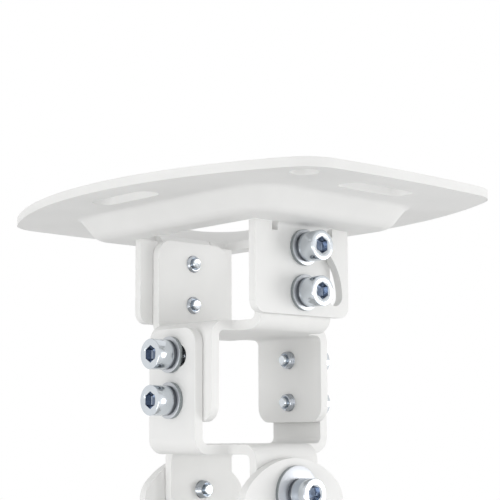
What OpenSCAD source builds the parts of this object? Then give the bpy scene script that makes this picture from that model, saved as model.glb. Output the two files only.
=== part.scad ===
// Projector ceiling mount: a pressed ceiling plate with two lanced flanges,
// an upper and a lower folded bracket, and a yoke that carries the projector.
// Origin: centre of the plate's top face, which lies against the ceiling.
// +Z up, +X towards the right-hand flange, heights below the ceiling are negative Z.

/* [Ceiling plate] */
// Length of the plate, along X
plate_len = 161; // [120:1:220]
// Width of the plate, along Y
plate_wid = 128; // [100:1:180]
// Thickness of the plate's sheet
plate_t = 3; // [2:0.1:4]
// Radius of the long curved sides
side_r = 148; // [120:1:400]
// Radius of the nearly straight ends
end_r = 480; // [200:5:900]
// Radius of the plate's rounded corners
corner_r = 15; // [8:1:25]
// How far the middle is pressed down
press_depth = 7.5; // [4:0.5:12]
// Length of the pressed floor, inside the bends of its wall
floor_len = 86; // [76:1:96]
// Width of the pressed floor, inside the bends of its wall
floor_wid = 58; // [50:1:66]
// Corner radius of the pressed floor
floor_r = 5; // [3:0.5:10]
// Slope of the pressed wall
wall_angle = 50; // [40:1:60]
// Inner radius of the bends above and below the pressed wall
wall_bend_r = 3; // [2:0.5:4]
// Width of the ceiling slots
slot_w = 9; // [6:0.5:11]
// Length of the ceiling slots, end to end
slot_len = 30; // [16:1:40]
// Distance of the end slots from the plate's ends
end_slot_inset = 16; // [12:0.5:20]
// Distance of the side slots from the plate's sides
side_slot_inset = 14; // [10:0.5:18]
// Diameter of the safety wire hole
wire_hole_d = 9; // [5:0.5:10]
// Distance of the safety wire hole from the centre of its corner's round, along X
wire_hole_out_x = 5.1; // [2:0.1:6]
// Distance of the safety wire hole from the centre of its corner's round, along Y
wire_hole_out_y = 4.1; // [2:0.1:6]

/* [Plate flanges] */
// Distance over the outer faces of the two flanges
flange_span = 63; // [56:0.5:80]
// Width of a flange, along Y
flange_wid = 43; // [36:0.5:50]
// Depth of the flanges' lower edge below the ceiling
flange_drop = 40.4; // [36:0.2:50]
// Radius of the flanges' lower corners
flange_corner_r = 4; // [2:0.5:8]
// Width of the bend that carries a flange, between its relief notches
tongue_wid = 23; // [16:0.5:30]
// Width of the relief notches
notch_w = 2.5; // [1.5:0.1:4]
// Inner radius of the flange's bend
flange_bend_r = 1.5; // [1:0.1:3]
// Corner radius of the window that the flanges are lanced from
window_r = 1; // [0.5:0.1:2]
// Corner radius of the relief notches
notch_r = 0.5; // [0.2:0.1:1]
// Clearance between the window's edge and the flange's shoulders
window_gap = 0.5; // [0.3:0.1:1.5]

/* [Folded brackets] */
// Thickness of the brackets' sheet, with its coating
fold_t = 3.3; // [2:0.1:4]
// Outer radius of the brackets' bends
fold_r = 5.5; // [4.5:0.5:8]
// Clearance between two sheets that turn on each other
seat_gap = 0.2; // [0.1:0.05:0.3]
// Radius in the inner corners of the cross shapes
cross_r = 2.5; // [1:0.5:5]
// Width of the upper bracket's upward flaps, along Y
upper_flap_wid = 32; // [26:0.5:38]
// Width of the upper bracket's downward flanges, along X
upper_flange_wid = 32.2; // [26:0.1:38]
// Width of the lower bracket's upward flanges, along X
lower_flange_wid = 24; // [22:0.5:30]
// Width of the lower bracket's downward flaps, along Y, and of their round ends
lower_flap_wid = 28; // [24:0.5:34]
// Distance over the outer faces of the lower bracket's upward flanges
roll_span = 60.4; // [54:0.2:76]
// Distance over the outer faces of the lower bracket's downward flaps
tilt_span = 46.8; // [42:0.2:56]
// Radius of the brackets' outer corners
fold_corner_r = 5.5; // [3:0.5:8]
// Length of the upper bracket's downward flanges below the roll pivot
upper_flange_tail = 7; // [5.5:0.5:12]
// Length of the lower bracket's upward flanges above the roll lock screw
lower_flange_head = 8.7; // [7:0.1:10.5]

/* [Yoke] */
// Width of the yoke, along Y
yoke_wid = 45; // [36:1:60]
// Height of the yoke's arched tops above the tilt pivot
yoke_rise = 11.5; // [10:0.5:13]
// Radius of the yoke's arched tops
yoke_arch_r = 28; // [24:1:40]
// Radius of the shoulders beside the arch
yoke_shoulder_r = 9; // [4:0.5:12]
// Distance between the screws for the projector's adapter, along X
adapter_x = 30; // [24:1:36]
// Distance between the screws for the projector's adapter, along Y
adapter_y = 30; // [24:1:36]
// Diameter of the four adapter holes
adapter_d = 6.6; // [5:0.1:8.4]

/* [Joint heights] */
// Depth of the swing pivot below the ceiling
swing_drop = 33; // [30:0.5:44]
// Distance between the two screws of a joint
screw_pitch = 15; // [13:0.5:20]
// Depth of the upper bracket's web below the swing pivot
upper_web_drop = 9; // [8.5:0.5:16]
// Distance from the upper web to the roll lock screw
roll_lock_drop = 11.1; // [11:0.1:16]
// Distance from the roll pivot to the lower bracket's web
lower_web_drop = 14.3; // [14:0.1:20]
// Distance from the lower web to the tilt pivot
tilt_drop = 15.9; // [15:0.1:22]
// Distance from the tilt pivot down to the yoke's floor
yoke_drop = 24; // [20:0.5:40]

/* [Screws and washers] */
// Diameter of the screws' threads
screw_d = 6; // [5:0.5:8]
// Clearance round a screw in a plain hole, on the radius
hole_clear = 0.3; // [0.2:0.05:0.5]
// Clearance round a screw in a tapped hole, on the radius
tap_clear = 0.05; // [0.02:0.01:0.1]
// Extra half width of the curved slots
arc_clear = 0.5; // [0.3:0.05:0.8]
// Diameter of the screw heads
head_d = 10; // [8.5:0.5:13]
// Height of the screw heads
head_h = 6; // [5:0.5:8]
// Width across the flats of the hexagon socket
hex_af = 5; // [4:0.5:6]
// Depth of the hexagon socket
hex_depth = 3; // [2:0.5:4]
// Length of the swing screws under the head
swing_screw_len = 12; // [10:1:16]
// Length of the roll and tilt screws under the head
long_screw_len = 14; // [12:1:20]
// Turn of the tilt screws' sockets, as they were left
tilt_socket_turn = 15; // [0:1:59]
// Diameter of the flat washers
washer_d = 12; // [10:0.5:16]
// Thickness of the flat washers and of the large washers
washer_t = 1.6; // [1:0.1:2]
// Diameter of the spring washers
spring_d = 11.6; // [9.5:0.1:14.8]
// Thickness of the spring washers
spring_t = 1.6; // [1.2:0.1:2]
// Width of the split in a spring washer
spring_split = 0.9; // [0.5:0.1:1.5]
// Diameter of the large washers on the yoke
large_washer_d = 18; // [15:0.5:24]

/* [Travel] */
// Sweep of the swing joint's curved slots
swing_sweep = 90; // [60:5:90]
// Sweep of the roll joint's curved slots to either side
roll_sweep = 15; // [10:1:20]

/* [Colours] */
// White powder coat
coat_colour = [0.93, 0.93, 0.92];
// Zinc plated steel
zinc_colour = [0.78, 0.8, 0.83];

/* [Hidden] */
$fn = 64;
eps = 0.5;
lap = 1;

// Faces that the joints sit on, as distances from the centre planes
swing_face = flange_span / 2;
upper_flap_face = swing_face - plate_t - seat_gap;
roll_face = roll_span / 2;
upper_flange_face = roll_face - fold_t - seat_gap;
tilt_face = tilt_span / 2;
yoke_face = tilt_face + seat_gap + fold_t;

// Lower bracket's round flap ends and the places on the plate
flap_end_r = lower_flap_wid / 2;
end_slot_x = plate_len / 2 - end_slot_inset;
side_slot_y = plate_wid / 2 - side_slot_inset;

// Centre of the plate's corner rounds, where both arcs, moved in by their radius, meet
side_c = side_r - plate_wid / 2;
end_c = end_r - plate_len / 2;
side_in = side_r - corner_r;
end_in = end_r - corner_r;
centre_gap = norm([end_c, side_c]);
along = (end_in * end_in - side_in * side_in + centre_gap * centre_gap) / (2 * centre_gap);
off = sqrt(end_in * end_in - along * along);
corner_x = -end_c + (along * end_c + off * side_c) / centre_gap;
corner_y = (off * end_c - along * side_c) / centre_gap;

// Heights, all negative because the plate's top is at zero
floor_z = -plate_t - press_depth;
swing_z = -swing_drop;
swing_lock_z = swing_z + screw_pitch;
upper_web_z = swing_z - upper_web_drop;
roll_lock_z = upper_web_z - roll_lock_drop;
roll_z = roll_lock_z - screw_pitch;
lower_web_z = roll_z - lower_web_drop;
tilt_z = lower_web_z - tilt_drop;
yoke_floor_z = tilt_z - yoke_drop;
yoke_top_z = tilt_z + yoke_rise;

// Free edges of the folded flaps
upper_flap_top_z = floor_z + seat_gap;
upper_flange_end_z = roll_z - upper_flange_tail;
lower_flange_top_z = roll_lock_z + lower_flange_head;

// Holes and slots
screw_r = screw_d / 2;
plain_r = screw_r + hole_clear;
tapped_r = screw_r + tap_clear;
arc_half = screw_r + arc_clear;
window_half_y = flange_wid / 2 + window_gap;
bend_x = swing_face + flange_bend_r;
bend_z = floor_z - flange_bend_r;

// The pressed wall's slanted stretch, and the width of the wall with its bends
mid_r = wall_bend_r + plate_t / 2;
slant = (press_depth - 2 * mid_r * (1 - cos(wall_angle))) / sin(wall_angle);
wall_width = 2 * mid_r * sin(wall_angle) + slant * cos(wall_angle);

// Flat rectangle with rounded corners, centred
module round_rect(len, wid, r) {
    square([len - 2 * r, wid], center = true);
    square([len, wid - 2 * r], center = true);
    for (sx = [-1, 1], sy = [-1, 1])
        translate([sx * (len / 2 - r), sy * (wid / 2 - r)])
            circle(r);
}

// Flat slot with round ends, along X
module long_slot(len, wid) {
    square([len - wid, wid], center = true);
    for (sx = [-1, 1])
        translate([sx * (len - wid) / 2, 0])
            circle(wid / 2);
}

// Wedge with its point at the origin, from angle a to angle b
module wedge(a, b, reach) {
    mid = (a + b) / 2;
    polygon([
        [0, 0],
        [reach * cos(a), reach * sin(a)],
        [reach * cos(mid) * 1.5, reach * sin(mid) * 1.5],
        [reach * cos(b), reach * sin(b)]
    ]);
}

// Curved slot on the radius r, from angle a to angle b
module arc_slot(r, half, a, b) {
    intersection() {
        difference() {
            circle(r + half);
            circle(r - half);
        }
        wedge(a, b, 3 * r);
    }
    for (end = [a, b])
        translate([r * cos(end), r * sin(end)])
            circle(half);
}

// Upright channel profile with its floor's underside at zero
module channel(span, t, r, height) {
    difference() {
        channel_fill(span, r, height);
        translate([0, t])
            channel_fill(span - 2 * t, r - t, height);
    }
}

module channel_fill(span, r, height) {
    translate([-span / 2, r])
        square([span, height - r]);
    translate([-span / 2 + r, 0])
        square([span - 2 * r, height]);
    for (sx = [-1, 1])
        translate([sx * (span / 2 - r), r])
            circle(r);
}

// Extrudes a flat shape along X: its x becomes Y and its y becomes Z
module along_x(len) {
    rotate([90, 0, 90])
        linear_extrude(len, center = true)
            children();
}

// Extrudes a flat shape along Y: its x stays X and its y becomes Z
module along_y(len) {
    rotate([90, 0, 0])
        linear_extrude(len, center = true)
            children();
}

// Places a shape whose head points up on the faces at plus and minus X
module on_face_x(side, face, z) {
    translate([side * face, 0, z])
        rotate([0, side * 90, 0])
            children();
}

// Places a shape whose head points up on the faces at plus and minus Y
module on_face_y(side, face, z) {
    translate([0, side * face, z])
        rotate([-side * 90, 0, 0])
            children();
}

// Outline of the ceiling plate: two pairs of arcs with a round in each corner
module plate_outline() {
    side_a = atan2(corner_y + side_c, corner_x);
    end_a = atan2(corner_y, corner_x + end_c);
    difference() {
        intersection() {
            translate([0, -side_c]) circle(side_r, $fn = 240);
            translate([0, side_c]) circle(side_r, $fn = 240);
            translate([-end_c, 0]) circle(end_r, $fn = 480);
            translate([end_c, 0]) circle(end_r, $fn = 480);
        }
        for (mx = [0, 1], my = [0, 1])
            mirror([mx, 0]) mirror([0, my])
                translate([corner_x, corner_y])
                    wedge(end_a, side_a, 2 * corner_r);
    }
    for (sx = [-1, 1], sy = [-1, 1])
        translate([sx * corner_x, sy * corner_y])
            circle(corner_r);
}

// Points of an arc, from angle a to angle b
function arc(c, r, a, b) = [for (i = [0:10]) c + r * [cos(a + (b - a) * i / 10), sin(a + (b - a) * i / 10)]];

// Section of the pressed wall: the floor ends at x = 0, the rim starts at x = wall_width
module wall_section() {
    low_c = [0, floor_z + plate_t + wall_bend_r];
    high_c = [wall_width, -plate_t - wall_bend_r];
    big_r = wall_bend_r + plate_t;
    polygon(concat(
        [[-lap, floor_z]],
        arc(low_c, big_r, -90, wall_angle - 90),
        arc(high_c, wall_bend_r, 90 + wall_angle, 90),
        [[wall_width + lap, -plate_t], [wall_width + lap, 0]],
        arc(high_c, big_r, 90, 90 + wall_angle),
        arc(low_c, wall_bend_r, wall_angle - 90, -90),
        [[-lap, floor_z + plate_t]]
    ));
}

// The wall all round the floor: four straight runs and four corners
module pressed_wall() {
    for (turn = [0, 1]) {
        half = (turn == 0 ? floor_len : floor_wid) / 2;
        run = (turn == 0 ? floor_wid : floor_len) - 2 * floor_r;
        for (side = [0, 180])
            rotate([0, 0, 90 * turn + side])
                translate([half, 0, 0])
                    rotate([90, 0, 0])
                        linear_extrude(run, center = true)
                            wall_section();
    }
    for (i = [0:3]) {
        sx = i == 0 || i == 3 ? 1 : -1;
        sy = i < 2 ? 1 : -1;
        translate([sx * (floor_len / 2 - floor_r), sy * (floor_wid / 2 - floor_r), 0])
            rotate([0, 0, 90 * i])
                rotate_extrude(angle = 90)
                    translate([floor_r, 0])
                        wall_section();
    }
}

module ceiling_plate() {
    color(coat_colour) {
        translate([0, 0, -plate_t])
            linear_extrude(plate_t)
                difference() {
                    plate_outline();
                    round_rect(
                        floor_len + 2 * wall_width, floor_wid + 2 * wall_width,
                        floor_r + wall_width
                    );
                    plate_holes();
                }
        pressed_wall();
        translate([0, 0, floor_z])
            linear_extrude(plate_t)
                difference() {
                    round_rect(floor_len, floor_wid, floor_r);
                    plate_window();
                }
        for (side = [0, 1])
            mirror([side, 0, 0])
                plate_flange();
    }
}

// Four ceiling slots and the safety wire hole
module plate_holes() {
    for (sx = [-1, 1])
        translate([sx * end_slot_x, 0])
            rotate(90)
                long_slot(slot_len, slot_w);
    for (sy = [-1, 1])
        translate([0, sy * side_slot_y])
            long_slot(slot_len, slot_w);
    translate([corner_x + wire_hole_out_x, -corner_y - wire_hole_out_y])
        circle(wire_hole_d / 2);
}

// Opening that the flanges are lanced from
module plate_window() {
    round_rect(2 * (swing_face + window_gap), 2 * window_half_y, window_r);
    round_rect(2 * bend_x, tongue_wid + 2 * notch_w, notch_r);
}

// Flange at +X: a bend on the tongue, a flat sheet with shoulders, two screw places
module plate_flange() {
    height = flange_drop + floor_z;
    shoulder = (tongue_wid + 2 * notch_w) / 2;
    translate([bend_x, 0, bend_z])
        along_y(tongue_wid) {
            difference() {
                intersection() {
                    circle(flange_bend_r + plate_t);
                    translate([-2 * plate_t, 0])
                        square(2 * plate_t);
                }
                circle(flange_bend_r);
            }
            // Laps that reach into the floor and into the flange
            translate([-lap / 10, flange_bend_r])
                square([lap, plate_t]);
            translate([-flange_bend_r - plate_t, -lap])
                square([plate_t, lap + lap / 10]);
        }
    translate([swing_face - plate_t / 2, 0, 0])
        along_x(plate_t)
            difference() {
                union() {
                    translate([0, (floor_z - flange_drop) / 2])
                        round_rect(flange_wid, height, flange_corner_r);
                    translate([-flange_wid / 2, floor_z - height / 2])
                        square([flange_wid, height / 2]);
                }
                // Room for the bend, then the two relief notches beside it
                translate([-tongue_wid / 2, bend_z])
                    square([tongue_wid, height]);
                for (sy = [-1, 1])
                    translate([sy * (shoulder - notch_w / 2), 0])
                        square([notch_w, -2 * (bend_z - notch_w / 2)], center = true);
                translate([0, swing_z]) {
                    circle(plain_r);
                    arc_slot(screw_pitch, arc_half, 90 - swing_sweep, 90);
                }
            }
}

// Cross-shaped sheet: one channel opens up, the other opens down
module upper_bracket() {
    web_low_z = upper_web_z - fold_t;
    up_height = upper_flap_top_z - web_low_z;
    down_height = upper_web_z - upper_flange_end_z;
    color(coat_colour)
        difference() {
            union() {
                intersection() {
                    translate([0, 0, web_low_z])
                        along_y(upper_flap_wid)
                            channel(2 * upper_flap_face, fold_t, fold_r, up_height);
                    along_x(4 * upper_flap_face)
                        translate([0, upper_flap_top_z - up_height])
                            round_rect(upper_flap_wid, 2 * up_height, fold_corner_r);
                }
                intersection() {
                    translate([0, 0, upper_web_z])
                        mirror([0, 0, 1])
                            along_x(upper_flange_wid)
                                channel(2 * upper_flange_face, fold_t, fold_r, down_height);
                    along_y(4 * upper_flange_face)
                        translate([0, upper_flange_end_z + down_height])
                            round_rect(upper_flange_wid, 2 * down_height, fold_corner_r);
                }
                translate([0, 0, web_low_z])
                    cross_fillets(upper_flange_wid / 2, upper_flap_wid / 2);
            }
            for (z = [swing_z, swing_lock_z])
                translate([0, 0, z])
                    rotate([0, 90, 0])
                        cylinder(4 * upper_flap_face, r = tapped_r, center = true);
            for (z = [roll_z, roll_lock_z])
                translate([0, 0, z])
                    rotate([90, 0, 0])
                        cylinder(4 * upper_flange_face, r = tapped_r, center = true);
        }
}

// Small rounds in the four inner corners of a cross-shaped web
module cross_fillets(x, y) {
    linear_extrude(fold_t)
        for (mx = [0, 1], my = [0, 1])
            mirror([mx, 0]) mirror([0, my])
                translate([x, y])
                    difference() {
                        translate([-eps, -eps])
                            square(cross_r + eps);
                        translate([cross_r, cross_r])
                            circle(cross_r);
                    }
}

module lower_bracket() {
    web_low_z = lower_web_z - fold_t;
    up_height = lower_flange_top_z - web_low_z;
    down_height = lower_web_z - tilt_z + flap_end_r;
    color(coat_colour)
        difference() {
            union() {
                intersection() {
                    translate([0, 0, web_low_z])
                        along_x(lower_flange_wid)
                            channel(roll_span, fold_t, fold_r, up_height);
                    along_y(2 * roll_span)
                        translate([0, lower_flange_top_z - up_height])
                            round_rect(lower_flange_wid, 2 * up_height, fold_corner_r);
                }
                intersection() {
                    translate([0, 0, lower_web_z])
                        mirror([0, 0, 1])
                            along_y(lower_flap_wid)
                                channel(tilt_span, fold_t, fold_r, down_height);
                    along_x(2 * tilt_span) {
                        translate([-lower_flap_wid / 2, tilt_z])
                            square([lower_flap_wid, 2 * tilt_drop]);
                        translate([0, tilt_z])
                            circle(flap_end_r);
                    }
                }
                translate([0, 0, web_low_z])
                    cross_fillets(lower_flange_wid / 2, lower_flap_wid / 2);
            }
            along_y(2 * roll_span)
                translate([0, roll_z]) {
                    circle(plain_r);
                    arc_slot(screw_pitch, arc_half, 90 - roll_sweep, 90 + roll_sweep);
                }
            translate([0, 0, tilt_z])
                rotate([0, 90, 0])
                    cylinder(2 * tilt_span, r = tapped_r, center = true);
        }
}

// Channel with arched ears and four holes for the projector's adapter
module projector_yoke() {
    low_z = yoke_floor_z - fold_t;
    height = yoke_top_z - low_z;
    color(coat_colour)
        difference() {
            intersection() {
                translate([0, 0, low_z])
                    along_y(yoke_wid)
                        channel(2 * yoke_face, fold_t, fold_r, height);
                along_x(4 * yoke_face)
                    yoke_outline(low_z);
            }
            translate([0, 0, tilt_z])
                rotate([0, 90, 0])
                    cylinder(4 * yoke_face, r = plain_r, center = true);
            for (sx = [-1, 1], sy = [-1, 1])
                translate([sx * adapter_x / 2, sy * adapter_y / 2, low_z - eps])
                    cylinder(fold_t + 2 * eps, r = adapter_d / 2);
        }
}

// Side view of the yoke: an arch with rounded shoulders on a straight body
module yoke_outline(low_z) {
    arch_z = yoke_top_z - yoke_arch_r;
    round_y = yoke_wid / 2 - yoke_shoulder_r;
    rise = sqrt(pow(yoke_arch_r - yoke_shoulder_r, 2) - round_y * round_y);
    round_z = arch_z + rise;
    tangent_a = atan2(rise, round_y);
    difference() {
        intersection() {
            union() {
                translate([0, arch_z])
                    circle(yoke_arch_r);
                translate([-yoke_arch_r, low_z - eps])
                    square([2 * yoke_arch_r, arch_z - low_z + eps]);
            }
            translate([-yoke_wid / 2, low_z - eps])
                square([yoke_wid, 4 * yoke_arch_r]);
        }
        for (m = [0, 1])
            mirror([m, 0])
                translate([round_y, round_z])
                    wedge(0, tangent_a, 2 * yoke_shoulder_r);
    }
    for (sy = [-1, 1])
        translate([sy * round_y, round_z])
            circle(yoke_shoulder_r);
}

// Socket head screw: the underside of its head at zero, shank down, socket up
module socket_screw(len, turn = 0) {
    edge = 0.4;
    hex_r = hex_af / 2 / cos(30);
    head_r = head_d / 2;
    difference() {
        rotate_extrude()
            polygon([
                [0, -len], [screw_r - 2 * edge, -len], [screw_r, -len + 2 * edge], [screw_r, 0],
                [head_r, 0], [head_r, head_h - edge], [head_r - edge, head_h], [0, head_h]
            ]);
        translate([0, 0, head_h - hex_depth])
            linear_extrude(hex_depth + eps)
                rotate(turn)
                    polygon([for (i = [0:5]) hex_r * [cos(60 * i), sin(60 * i)]]);
    }
}

module plain_washer(d, t) {
    linear_extrude(t)
        difference() {
            circle(d / 2);
            circle(plain_r);
        }
}

module split_washer() {
    linear_extrude(spring_t)
        difference() {
            circle(spring_d / 2);
            circle(plain_r);
            translate([0, -spring_split / 2])
                square([spring_d, spring_split]);
        }
}

module swing_screw(side, z) {
    color(zinc_colour)
        on_face_x(side, swing_face + washer_t + spring_t, z)
            socket_screw(swing_screw_len);
}

module roll_screw(side, z) {
    color(zinc_colour)
        on_face_y(side, roll_face + washer_t + spring_t, z)
            socket_screw(long_screw_len, 90);
}

module tilt_screw(side) {
    color(zinc_colour)
        on_face_x(side, yoke_face + washer_t + spring_t, tilt_z)
            socket_screw(long_screw_len, tilt_socket_turn);
}

module swing_flat_washers() {
    color(zinc_colour)
        for (side = [-1, 1], z = [swing_z, swing_lock_z])
            on_face_x(side, swing_face, z)
                plain_washer(washer_d, washer_t);
}

module swing_spring_washers() {
    color(zinc_colour)
        for (side = [-1, 1], z = [swing_z, swing_lock_z])
            on_face_x(side, swing_face + washer_t, z)
                split_washer();
}

module roll_flat_washers() {
    color(zinc_colour)
        for (side = [-1, 1], z = [roll_z, roll_lock_z])
            on_face_y(side, roll_face, z)
                plain_washer(washer_d, washer_t);
}

module roll_spring_washers() {
    color(zinc_colour)
        for (side = [-1, 1], z = [roll_z, roll_lock_z])
            on_face_y(side, roll_face + washer_t, z)
                split_washer();
}

module tilt_large_washers() {
    color(zinc_colour)
        for (side = [-1, 1])
            on_face_x(side, yoke_face, tilt_z)
                plain_washer(large_washer_d, washer_t);
}

module tilt_spring_washers() {
    color(zinc_colour)
        for (side = [-1, 1])
            on_face_x(side, yoke_face + washer_t, tilt_z)
                split_washer();
}

ceiling_plate();
upper_bracket();
lower_bracket();
projector_yoke();
swing_screw(-1, swing_z);  // swing_pivot_screw_left
swing_screw(1, swing_z);  // swing_pivot_screw_right
swing_screw(-1, swing_lock_z);  // swing_lock_screw_left
swing_screw(1, swing_lock_z);  // swing_lock_screw_right
roll_screw(-1, roll_z);  // roll_pivot_screw_front
roll_screw(1, roll_z);  // roll_pivot_screw_back
roll_screw(-1, roll_lock_z);  // roll_lock_screw_front
roll_screw(1, roll_lock_z);  // roll_lock_screw_back
tilt_screw(-1);  // tilt_screw_left
tilt_screw(1);  // tilt_screw_right
swing_flat_washers();
swing_spring_washers();
roll_flat_washers();
roll_spring_washers();
tilt_large_washers();
tilt_spring_washers();
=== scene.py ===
"""Projector ceiling mount: white powder coated sheet and bright zinc screws."""

import math

import bmesh
import bpy
from mathutils import Matrix, Vector

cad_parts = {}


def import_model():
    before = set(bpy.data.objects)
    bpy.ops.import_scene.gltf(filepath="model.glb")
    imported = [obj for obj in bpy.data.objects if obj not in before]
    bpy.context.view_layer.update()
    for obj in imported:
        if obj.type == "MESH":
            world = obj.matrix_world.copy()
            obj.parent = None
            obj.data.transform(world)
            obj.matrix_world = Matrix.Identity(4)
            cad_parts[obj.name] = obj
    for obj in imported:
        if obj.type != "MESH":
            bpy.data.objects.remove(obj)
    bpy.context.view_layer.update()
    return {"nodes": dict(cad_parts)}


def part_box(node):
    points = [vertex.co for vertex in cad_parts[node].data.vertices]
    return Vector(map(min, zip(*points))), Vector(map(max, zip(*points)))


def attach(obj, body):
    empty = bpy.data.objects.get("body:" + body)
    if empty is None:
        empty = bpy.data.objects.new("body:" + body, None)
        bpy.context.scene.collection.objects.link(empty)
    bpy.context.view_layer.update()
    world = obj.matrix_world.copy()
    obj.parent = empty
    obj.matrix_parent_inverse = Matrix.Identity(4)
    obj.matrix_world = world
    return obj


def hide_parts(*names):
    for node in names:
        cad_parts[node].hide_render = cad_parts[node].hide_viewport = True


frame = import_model()

MM = 0.001

# Screws, in millimetres, as in the frame's fasteners
SHANK_R = 3.0
PITCH = 1.0
THREAD_DEPTH = 0.55
HEAD_R = 5.0
HEAD_H = 6.0
HEX_FLATS = 5.0
HEX_DEPTH = 3.0
SWING_SCREW_LEN = 12
TILT_SCREW_LEN = 14
# Half a millimetre shorter than the frame's, as in the photograph
ROLL_SCREW_LEN = 13.5

# Washers, in millimetres
WASHER_R = 6.0
LARGE_WASHER_R = 9.0
WASHER_BORE_R = 3.3
WASHER_T = 1.6
# Narrower than the frame's, as in the photograph
SPRING_WASHER_R = 4.95
SPLIT = 0.9
# Film of air under a flat washer, so that its face doesn't coincide with the sheet's
FILM = 0.01

# Vertices round a screw, a flat washer and a spring washer
SCREW_SIDES = 72
WASHER_SIDES = 96
SPRING_SIDES = 90


def smooth_by_angle(piece, degrees):
    """Smooth shading, with a hard edge where faces meet at more than the angle."""
    mesh = piece.data
    mesh.shade_smooth()
    mesh.set_sharp_from_angle(angle=math.radians(degrees))


def new_piece(name, mesh_data, material):
    """An object made from a bmesh, at the origin, with one material."""
    mesh = bpy.data.meshes.new(name)
    mesh_data.to_mesh(mesh)
    mesh_data.free()
    piece = bpy.data.objects.new(name, mesh)
    bpy.context.scene.collection.objects.link(piece)
    piece.data.materials.append(material)
    return piece


def apply_modifiers(piece):
    """Puts the result of the piece's modifiers into its mesh."""
    graph = bpy.context.evaluated_depsgraph_get()
    mesh = bpy.data.meshes.new_from_object(piece.evaluated_get(graph))
    piece.modifiers.clear()
    piece.data = mesh


# Materials

class Nodes:
    """Short calls for building one node material."""

    def __init__(self, name):
        self.material = bpy.data.materials.new(name)
        self.material.use_nodes = True
        self.tree = self.material.node_tree
        self.tree.nodes.clear()
        self.shader = self.add("ShaderNodeBsdfPrincipled")
        output = self.add("ShaderNodeOutputMaterial")
        self.link(self.shader.outputs["BSDF"], output.inputs["Surface"])
        self.place = self.add("ShaderNodeTexCoord").outputs["Object"]

    def add(self, kind, **settings):
        node = self.tree.nodes.new(kind)
        for key, value in settings.items():
            if key in node.inputs:
                node.inputs[key].default_value = value
            else:
                setattr(node, key, value)
        return node

    def link(self, start, end):
        self.tree.links.new(start, end)

    def noise(self, size_mm, detail):
        """Noise whose patches are about size_mm across."""
        node = self.add("ShaderNodeTexNoise", Detail=detail)
        node.inputs["Scale"].default_value = 1 / (size_mm * MM)
        self.link(self.place, node.inputs["Vector"])
        return node.outputs["Fac"]

    def spread(self, value, low, high, out_low, out_high):
        """Maps a value from one range to another."""
        node = self.add("ShaderNodeMapRange")
        self.link(value, node.inputs["Value"])
        node.inputs["From Min"].default_value = low
        node.inputs["From Max"].default_value = high
        node.inputs["To Min"].default_value = out_low
        node.inputs["To Max"].default_value = out_high
        return node.outputs["Result"]

    def mix(self, factor, first, second):
        """Mixes two colours."""
        node = self.add("ShaderNodeMix", data_type="RGBA")
        self.link(factor, node.inputs["Factor"])
        node.inputs[6].default_value = (*first, 1)
        node.inputs[7].default_value = (*second, 1)
        return node.outputs[2]

    def bump(self, height, depth_mm, before=None):
        """Raises the surface by the height value, at most depth_mm."""
        node = self.add("ShaderNodeBump")
        node.inputs["Strength"].default_value = 1.0
        node.inputs["Distance"].default_value = depth_mm * MM
        self.link(height, node.inputs["Height"])
        if before is not None:
            self.link(before, node.inputs["Normal"])
        return node.outputs["Normal"]


def powder_coat():
    """Off-white satin powder coat with a fine orange peel."""
    m = Nodes("white powder coat")
    shade = m.noise(22, detail=3.0)
    tone = m.spread(shade, 0.3, 0.7, 0, 1)
    white = m.mix(tone, (0.80, 0.80, 0.79), (0.835, 0.835, 0.825))
    m.link(white, m.shader.inputs["Base Color"])
    peel = m.noise(1.1, detail=1.5)
    grain = m.noise(0.28, detail=2.0)
    rough = m.spread(grain, 0.3, 0.7, 0.46, 0.56)
    m.link(rough, m.shader.inputs["Roughness"])
    wavy = m.bump(peel, 0.012)
    m.link(m.bump(grain, 0.003, wavy), m.shader.inputs["Normal"])
    m.shader.inputs["IOR"].default_value = 1.5
    m.shader.inputs["Specular IOR Level"].default_value = 0.3
    return m.material


def zinc(name, colour, rough_low, rough_high):
    """Zinc plating, slightly mottled in colour, gloss and height."""
    m = Nodes(name)
    patch = m.noise(4.5, detail=2.0)
    tone = m.spread(patch, 0.3, 0.7, 0, 1)
    darker = tuple(0.93 * c for c in colour)
    m.link(m.mix(tone, darker, colour), m.shader.inputs["Base Color"])
    fine = m.noise(0.35, detail=3.0)
    m.link(m.spread(fine, 0.25, 0.75, rough_low, rough_high), m.shader.inputs["Roughness"])
    m.link(m.bump(fine, 0.0012), m.shader.inputs["Normal"])
    m.shader.inputs["Metallic"].default_value = 1.0
    return m.material


def socket_painted_shade():
    """Glossy metal down in the hexagon sockets, darkened as painted shade of the recess."""
    m = Nodes("socket metal with painted shade")
    patch = m.noise(2.2, detail=1.5)
    m.link(
        m.mix(m.spread(patch, 0.3, 0.7, 0, 1), (0.30, 0.34, 0.41), (0.44, 0.49, 0.57)),
        m.shader.inputs["Base Color"],
    )
    m.shader.inputs["Metallic"].default_value = 1.0
    m.shader.inputs["Roughness"].default_value = 0.16
    return m.material


COAT = powder_coat()
SCREW_ZINC = zinc("screw zinc", (0.66, 0.70, 0.74), 0.10, 0.18)
WASHER_ZINC = zinc("washer zinc", (0.58, 0.60, 0.63), 0.40, 0.52)
# Washer rims: a darker metal, painted shade on the rims
RIM_PAINTED_SHADE = zinc("rim zinc with painted shade", (0.33, 0.36, 0.37), 0.22, 0.34)
# Spring washers: a darker steel tint, darkened further as painted shade of the gap under the
# head; their rims darker still, painted shade
SPRING_STEEL_AND_SHADE = zinc("spring steel with painted shade", (0.34, 0.36, 0.38), 0.24, 0.36)
SPRING_RIM_SHADE = zinc("spring rim painted shade", (0.13, 0.14, 0.155), 0.24, 0.36)
# The thread metal is darker than the head's as painted shade in the grooves and the point's
# recess
THREAD_ZINC_SHADED = zinc("thread zinc with painted shade", (0.50, 0.53, 0.57), 0.14, 0.24)
SOCKET_PAINTED_SHADE = socket_painted_shade()


# Sheet pieces

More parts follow.
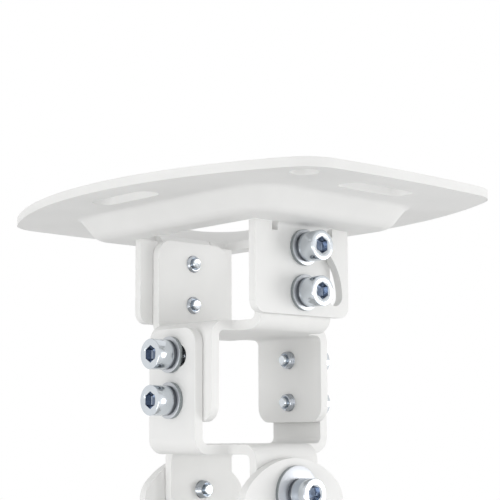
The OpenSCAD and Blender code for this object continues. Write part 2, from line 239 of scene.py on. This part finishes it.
def eased_sheet(node, edge_mm, body):
    """The frame's sheet piece with the small round that cut and coated edges have."""
    mesh_data = bmesh.new()
    mesh_data.from_mesh(frame["nodes"][node].data)
    bmesh.ops.remove_doubles(mesh_data, verts=mesh_data.verts, dist=2e-6)
    bmesh.ops.dissolve_limit(
        mesh_data,
        angle_limit=math.radians(0.5),
        use_dissolve_boundaries=False,
        verts=mesh_data.verts,
        edges=mesh_data.edges,
    )
    piece = new_piece(node + "_coated", mesh_data, COAT)
    smooth_by_angle(piece, 40)
    bevel = piece.modifiers.new("edge", "BEVEL")
    bevel.width = edge_mm * MM
    bevel.segments = 3
    bevel.limit_method = "ANGLE"
    bevel.angle_limit = math.radians(40)
    bevel.use_clamp_overlap = True
    apply_modifiers(piece)
    smooth_by_angle(piece, 40)
    # The large flat faces decide the shading, so it stays even around the holes
    weighted = piece.modifiers.new("shading", "WEIGHTED_NORMAL")
    weighted.mode = "FACE_AREA"
    weighted.weight = 100
    weighted.keep_sharp = True
    apply_modifiers(piece)
    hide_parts(node)
    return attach(piece, body)


eased_sheet("ceiling_plate", 0.45, "plate")
eased_sheet("upper_bracket", 0.4, "upper")
eased_sheet("lower_bracket", 0.4, "lower")
eased_sheet("projector_yoke", 0.4, "yoke")


# Fasteners

def pointing(direction):
    """Turns +Z into the direction, and keeps +X level or upright."""
    towards = Vector(direction).normalized()
    return towards.to_track_quat("Z", "X").to_matrix().to_4x4()


def ring(mesh_data, radius, z, count):
    """A circle of vertices."""
    step = 2 * math.pi / count
    return [
        mesh_data.verts.new((radius * math.cos(i * step), radius * math.sin(i * step), z))
        for i in range(count)
    ]


def skin(mesh_data, lower, upper):
    """Quads between two rings with the same number of vertices."""
    count = len(lower)
    return [
        mesh_data.faces.new((lower[i], lower[(i + 1) % count], upper[(i + 1) % count], upper[i]))
        for i in range(count)
    ]


def turned(mesh_data, profile, count):
    """Skin round the Z axis through the profile's (radius, z) points; returns its rings."""
    rings = [ring(mesh_data, radius, z, count) for radius, z in profile]
    for lower, upper in zip(rings, rings[1:]):
        skin(mesh_data, lower, upper)
    return rings


def head_rings(mesh_data, turn):
    """Cylinder head with an eased rim and a chamfered hexagon socket."""
    count = SCREW_SIDES
    rim = 0.35
    profile = [(SHANK_R * 0.9, 0.0), (HEAD_R - 0.35, 0.0), (HEAD_R - 0.1, 0.1), (HEAD_R, 0.35)]
    profile += [(HEAD_R, HEAD_H - rim)]
    for i in range(1, 5):
        a = i * math.pi / 8
        profile.append((HEAD_R - rim * (1 - math.cos(a)), HEAD_H - rim * (1 - math.sin(a))))
    mouth = HEX_FLATS / math.sqrt(3) + 0.22
    profile += [(mouth + 0.25, HEAD_H), (mouth, HEAD_H - 0.04)]
    rings = turned(mesh_data, profile, count)
    # The socket: a hexagon drawn with the same number of vertices as the round mouth
    walls = []
    for depth in (0.30, HEX_DEPTH - 0.25, HEX_DEPTH):
        shrink = 0.0 if depth < HEX_DEPTH else 0.18
        walls.append(hex_ring(mesh_data, HEX_FLATS / 2 - shrink, HEAD_H - depth, turn, count))
    skin(mesh_data, rings[-1], walls[0])
    inner = skin(mesh_data, walls[0], walls[1]) + skin(mesh_data, walls[1], walls[2])
    tip = mesh_data.verts.new((0, 0, HEAD_H - HEX_DEPTH - 0.55))
    for i in range(count):
        inner.append(mesh_data.faces.new((walls[2][i], walls[2][(i + 1) % count], tip)))
    # The socket's walls and floor take the second material, painted shade in the recess
    for face in inner:
        face.material_index = 1
    return rings[0]


def hex_ring(mesh_data, apothem, z, turn, count):
    """Vertices spaced evenly by angle along a hexagon."""
    vertices = []
    for i in range(count):
        a = 2 * math.pi * i / count
        side = (a - turn + math.pi / 6) % (math.pi / 3) - math.pi / 6
        r = apothem / math.cos(math.pi / 6 - abs(side))
        vertices.append(mesh_data.verts.new((r * math.cos(a), r * math.sin(a), z)))
    return vertices


def threaded_shank(mesh_data, top_ring, length):
    """Shank with a helical thread, and a narrower point past the thread's end."""
    count = SCREW_SIDES
    per_turn = 8
    plain = 0.4
    point = 1.3
    rows = []
    steps = int((length - plain - point) / PITCH * per_turn)
    for row in range(steps + 1):
        vertices = []
        for i in range(count):
            a = 2 * math.pi * i / count
            z = -plain - row * PITCH / per_turn
            phase = (-z / PITCH + i / count) % 1.0
            wave = abs(phase - 0.5) * 2
            cut = THREAD_DEPTH * min(max((0.88 - wave) / 0.76, 0.0), 1.0)
            chamfer = max(0.0, 0.5 - (length - point) - z)
            r = min(SHANK_R - cut, SHANK_R - chamfer)
            vertices.append(mesh_data.verts.new((r * math.cos(a), r * math.sin(a), z)))
        rows.append(vertices)
    skin(mesh_data, rows[0], top_ring)
    # The thread's faces take the darker thread metal, painted shade in the grooves
    for upper, lower in zip(rows, rows[1:]):
        for face in skin(mesh_data, lower, upper):
            face.material_index = 2
    # Each step of the point: radius, height over the tip, metal
    cap = rows[-1]
    steps_of_point = ((2.3, point, 2), (1.75, point + 0.5, 2), (1.75, 0.3, 0), (1.45, 0.0, 0))
    # Metal 2, the darker thread metal, is painted shade on the point's recess
    for radius, height, metal in steps_of_point:
        upper, cap = cap, ring(mesh_data, radius, height - length, count)
        for face in skin(mesh_data, cap, upper):
            face.material_index = metal
    middle = mesh_data.verts.new((0, 0, 0.12 - length))
    for i in range(count):
        mesh_data.faces.new((cap[(i + 1) % count], cap[i], middle))


def screw(node, body, direction, length, turn_deg):
    """Socket head screw on the place of the frame's screw."""
    low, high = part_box(node)
    centre = (low + high) / 2
    towards = Vector(direction)
    reach = (high - low).dot(Vector(map(abs, towards))) / 2
    under_head = centre + towards * (reach - HEAD_H * MM)
    mesh_data = bmesh.new()
    neck = head_rings(mesh_data, math.radians(turn_deg))
    threaded_shank(mesh_data, neck, length)
    bmesh.ops.recalc_face_normals(mesh_data, faces=mesh_data.faces)
    place = Matrix.Translation(under_head) @ pointing(direction) @ Matrix.Scale(MM, 4)
    bmesh.ops.transform(mesh_data, matrix=place, verts=mesh_data.verts)
    piece = new_piece(node + "_threaded", mesh_data, SCREW_ZINC)
    # Second material: painted shade down in the socket
    piece.data.materials.append(SOCKET_PAINTED_SHADE)
    # Third material: painted shade in the thread's grooves and at the point
    piece.data.materials.append(THREAD_ZINC_SHADED)
    smooth_by_angle(piece, 32)
    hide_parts(node)
    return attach(piece, body)


def flat_washers(node, body, axis, outer):
    """All of a node's washers in one piece: discs with eased rims."""
    inner, thick = WASHER_BORE_R, WASHER_T
    mesh_data = bmesh.new()
    for seat, towards in seats(node, axis, thick):
        part = bmesh.new()
        ease = 0.18
        profile = [
            (inner, ease), (inner + ease, FILM), (outer - ease, FILM), (outer, ease),
            (outer, thick - ease), (outer - ease * 0.3, thick - ease * 0.3),
            (outer - ease, thick), (inner + ease, thick), (inner, thick - ease),
        ]
        rings = turned(part, profile, WASHER_SIDES)
        skin(part, rings[-1], rings[0])
        # The washer's rim gets painted shade: the darker second metal
        paint_rim_shade(part, outer - 0.02)
        add_part(mesh_data, part, seat, towards)
    return finish_washers(mesh_data, node, body, WASHER_ZINC, RIM_PAINTED_SHADE)


def spring_washers(node, body, axis):
    """All of a node's split washers in one piece: rings whose cut ends stand apart."""
    outer, inner, thick = SPRING_WASHER_R, WASHER_BORE_R, WASHER_T
    mesh_data = bmesh.new()
    for seat, towards in seats(node, axis, thick):
        part = bmesh.new()
        half_gap = SPLIT / 2 / outer
        rings = []
        for i in range(SPRING_SIDES + 1):
            a = half_gap + (2 * math.pi - 2 * half_gap) * i / SPRING_SIDES
            lift = 0.05 * (i / SPRING_SIDES - 0.5)
            section = [
                (inner, 0.12), (inner + 0.12, 0.06), (outer - 0.3, 0.06), (outer - 0.05, 0.28),
                (outer - 0.05, thick - 0.28), (outer - 0.3, thick - 0.06),
                (inner + 0.12, thick - 0.06), (inner, thick - 0.12),
            ]
            rings.append([
                part.verts.new((r * math.cos(a), r * math.sin(a), z + lift))
                for r, z in section
            ])
        for first, second in zip(rings, rings[1:]):
            skin(part, first, second)
        part.faces.new(rings[0])
        part.faces.new(rings[-1])
        # The spring washer's rim gets painted shade: the darkest second metal
        paint_rim_shade(part, outer - 0.1)
        add_part(mesh_data, part, seat, towards)
    return finish_washers(mesh_data, node, body, SPRING_STEEL_AND_SHADE, SPRING_RIM_SHADE)


def paint_rim_shade(part, radius):
    """Gives the faces outside the radius the second material, a darker metal that is painted
    shade on the rim.
    """
    for face in part.faces:
        if all(math.hypot(v.co.x, v.co.y) > radius for v in face.verts):
            face.material_index = 1


def seats(node, axis, thick):
    """Places of a node's washers: (centre of the inner face, outward direction)."""
    low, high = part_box(node)
    along = Vector((1, 0, 0)) if axis == "X" else Vector((0, 1, 0))
    reach = high.dot(along)
    across = Vector((0, 1, 0)) if axis == "X" else Vector((1, 0, 0))
    washer_radius = (high - low).dot(across) / 2
    middle = (low.z + high.z) / 2
    offset = (high.z - low.z) / 2 - washer_radius
    # A node much taller than one washer holds a pair on each side
    pair = offset > washer_radius * 0.2
    heights = [middle - offset, middle + offset] if pair else [middle]
    for sign in (-1, 1):
        for z in heights:
            yield Vector((0, 0, z)) + along * sign * (reach - thick * MM), along * sign


def add_part(mesh_data, part, seat, towards):
    """Moves a part made in millimetres to its seat and adds it."""
    bmesh.ops.recalc_face_normals(part, faces=part.faces)
    place = Matrix.Translation(seat) @ pointing(towards) @ Matrix.Scale(MM, 4)
    bmesh.ops.transform(part, matrix=place, verts=part.verts)
    mesh = bpy.data.meshes.new("part")
    part.to_mesh(mesh)
    part.free()
    mesh_data.from_mesh(mesh)
    bpy.data.meshes.remove(mesh)


def finish_washers(mesh_data, node, body, face_metal, rim_shade_metal):
    """Makes the node's piece, with one metal on the faces and a darker one on the rims, which is
    painted shade.
    """
    piece = new_piece(node + "_plated", mesh_data, face_metal)
    piece.data.materials.append(rim_shade_metal)
    smooth_by_angle(piece, 32)
    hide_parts(node)
    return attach(piece, body)


for place in ("pivot", "lock"):
    screw(f"swing_{place}_screw_left", "upper", (-1, 0, 0), SWING_SCREW_LEN, 0)
    screw(f"swing_{place}_screw_right", "upper", (1, 0, 0), SWING_SCREW_LEN, 0)
    screw(f"roll_{place}_screw_front", "upper", (0, -1, 0), ROLL_SCREW_LEN, 0)
    screw(f"roll_{place}_screw_back", "upper", (0, 1, 0), ROLL_SCREW_LEN, 0)
screw("tilt_screw_left", "lower", (-1, 0, 0), TILT_SCREW_LEN, 15)
screw("tilt_screw_right", "lower", (1, 0, 0), TILT_SCREW_LEN, 15)

flat_washers("swing_flat_washers", "upper", "X", WASHER_R)
flat_washers("roll_flat_washers", "upper", "Y", WASHER_R)
flat_washers("tilt_large_washers", "lower", "X", LARGE_WASHER_R)
spring_washers("swing_spring_washers", "upper", "X")
spring_washers("roll_spring_washers", "upper", "Y")
spring_washers("tilt_spring_washers", "lower", "X")


# Studio

CAMERA_PLACE = Vector((338.55, -303.22, -78.68)) * MM
CAMERA_TURN = math.radians(48.15)
CAMERA_YAW = math.radians(0.46)
CAMERA_PITCH = math.radians(7.92)
CAMERA_ROLL = math.radians(0.24)
LENS = 94.58


def camera():
    """The photograph's viewpoint: below the plate, off one corner, looking slightly up."""
    data = bpy.data.cameras.new("camera")
    data.lens = LENS
    data.sensor_width = 36
    data.clip_start = 0.01
    data.clip_end = 100
    eye = bpy.data.objects.new("camera", data)
    bpy.context.scene.collection.objects.link(eye)
    right = Vector((math.cos(CAMERA_TURN), math.sin(CAMERA_TURN), 0))
    ahead = Vector((-math.sin(CAMERA_TURN), math.cos(CAMERA_TURN), 0))
    up = Vector((0, 0, 1))
    rows = Matrix((right, up, ahead))
    yaw = Matrix((
        (math.cos(CAMERA_YAW), 0, -math.sin(CAMERA_YAW)),
        (0, 1, 0),
        (math.sin(CAMERA_YAW), 0, math.cos(CAMERA_YAW)),
    ))
    pitch = Matrix((
        (1, 0, 0),
        (0, math.cos(CAMERA_PITCH), -math.sin(CAMERA_PITCH)),
        (0, math.sin(CAMERA_PITCH), math.cos(CAMERA_PITCH)),
    ))
    roll = Matrix((
        (math.cos(CAMERA_ROLL), -math.sin(CAMERA_ROLL), 0),
        (math.sin(CAMERA_ROLL), math.cos(CAMERA_ROLL), 0),
        (0, 0, 1),
    ))
    turned_rows = roll @ pitch @ yaw @ rows
    frame_axes = Matrix((turned_rows[0], turned_rows[1], -turned_rows[2])).transposed()
    eye.matrix_world = Matrix.Translation(CAMERA_PLACE) @ frame_axes.to_4x4()
    bpy.context.scene.camera = eye


def background_rays(tree):
    """1 for rays that show the background: from the camera, off gloss and through glass."""
    path = tree.nodes.new("ShaderNodeLightPath")
    seen = path.outputs["Is Camera Ray"]
    for kind in ("Is Glossy Ray", "Is Transmission Ray"):
        either = tree.nodes.new("ShaderNodeMath")
        either.operation = "MAXIMUM"
        tree.links.new(seen, either.inputs[0])
        tree.links.new(path.outputs[kind], either.inputs[1])
        seen = either.outputs[0]
    return seen


def backdrop_material(name, colour):
    """Matt surface that shows as plain white, and still bounces soft light."""
    material = bpy.data.materials.new(name)
    material.use_nodes = True
    tree = material.node_tree
    tree.nodes.clear()
    diffuse = tree.nodes.new("ShaderNodeBsdfDiffuse")
    diffuse.inputs["Color"].default_value = (*colour, 1)
    white = tree.nodes.new("ShaderNodeEmission")
    mixed = tree.nodes.new("ShaderNodeMixShader")
    output = tree.nodes.new("ShaderNodeOutputMaterial")
    tree.links.new(background_rays(tree), mixed.inputs[0])
    tree.links.new(diffuse.outputs[0], mixed.inputs[1])
    tree.links.new(white.outputs[0], mixed.inputs[2])
    tree.links.new(mixed.outputs[0], output.inputs["Surface"])
    return material


def floor():
    """Plain pale floor well below the hanging mount."""
    mesh_data = bmesh.new()
    bmesh.ops.create_grid(mesh_data, x_segments=1, y_segments=1, size=6.0)
    bmesh.ops.translate(mesh_data, verts=mesh_data.verts, vec=(0, 0, -0.6))
    new_piece("floor", mesh_data, backdrop_material("pale floor", (0.8, 0.8, 0.8)))


def world():
    """White where it shows; for the light on matt surfaces a dome that dims overhead."""
    scene_world = bpy.data.worlds.new("studio")
    bpy.context.scene.world = scene_world
    scene_world.use_nodes = True
    tree = scene_world.node_tree
    tree.nodes.clear()
    place = tree.nodes.new("ShaderNodeTexCoord")
    split = tree.nodes.new("ShaderNodeSeparateXYZ")
    dome = tree.nodes.new("ShaderNodeValToRGB")
    lift = tree.nodes.new("ShaderNodeMapRange")
    lift.inputs["From Min"].default_value = -1
    lift.inputs["From Max"].default_value = 1
    tree.links.new(place.outputs["Generated"], split.inputs[0])
    tree.links.new(split.outputs["Z"], lift.inputs["Value"])
    tree.links.new(lift.outputs["Result"], dome.inputs["Fac"])
    dome.color_ramp.elements[0].color = (0.97, 0.97, 0.97, 1)
    dome.color_ramp.elements[1].color = (0.21, 0.21, 0.21, 1)
    light = tree.nodes.new("ShaderNodeBackground")
    light.inputs["Strength"].default_value = 2.0
    tree.links.new(dome.outputs["Color"], light.inputs["Color"])
    white = tree.nodes.new("ShaderNodeBackground")
    white.inputs["Color"].default_value = (1, 1, 1, 1)
    mixed = tree.nodes.new("ShaderNodeMixShader")
    output = tree.nodes.new("ShaderNodeOutputWorld")
    tree.links.new(background_rays(tree), mixed.inputs[0])
    tree.links.new(light.outputs[0], mixed.inputs[1])
    tree.links.new(white.outputs[0], mixed.inputs[2])
    tree.links.new(mixed.outputs[0], output.inputs["Surface"])


def soft_light(name, place, target, size, watts):
    """Square soft box at a place, aimed at a target."""
    data = bpy.data.lights.new(name, "AREA")
    data.shape = "SQUARE"
    data.size = size
    data.energy = watts
    lamp = bpy.data.objects.new(name, data)
    bpy.context.scene.collection.objects.link(lamp)
    towards = Vector(target) - Vector(place)
    aim = towards.to_track_quat("-Z", "Y").to_matrix().to_4x4()
    lamp.matrix_world = Matrix.Translation(place) @ aim


camera()
world()
floor()
MIDDLE = (0, 0, -0.06)
soft_light("far right box", (0.9, 0.9, -0.2), MIDDLE, 0.6, 4.8)
soft_light("low front box", (-0.1, -1.1, -0.5), MIDDLE, 0.6, 4.1)
soft_light("low near box", (0.8, -0.8, -0.5), MIDDLE, 0.6, 2.2)

scene = bpy.context.scene
scene.view_settings.view_transform = "Standard"
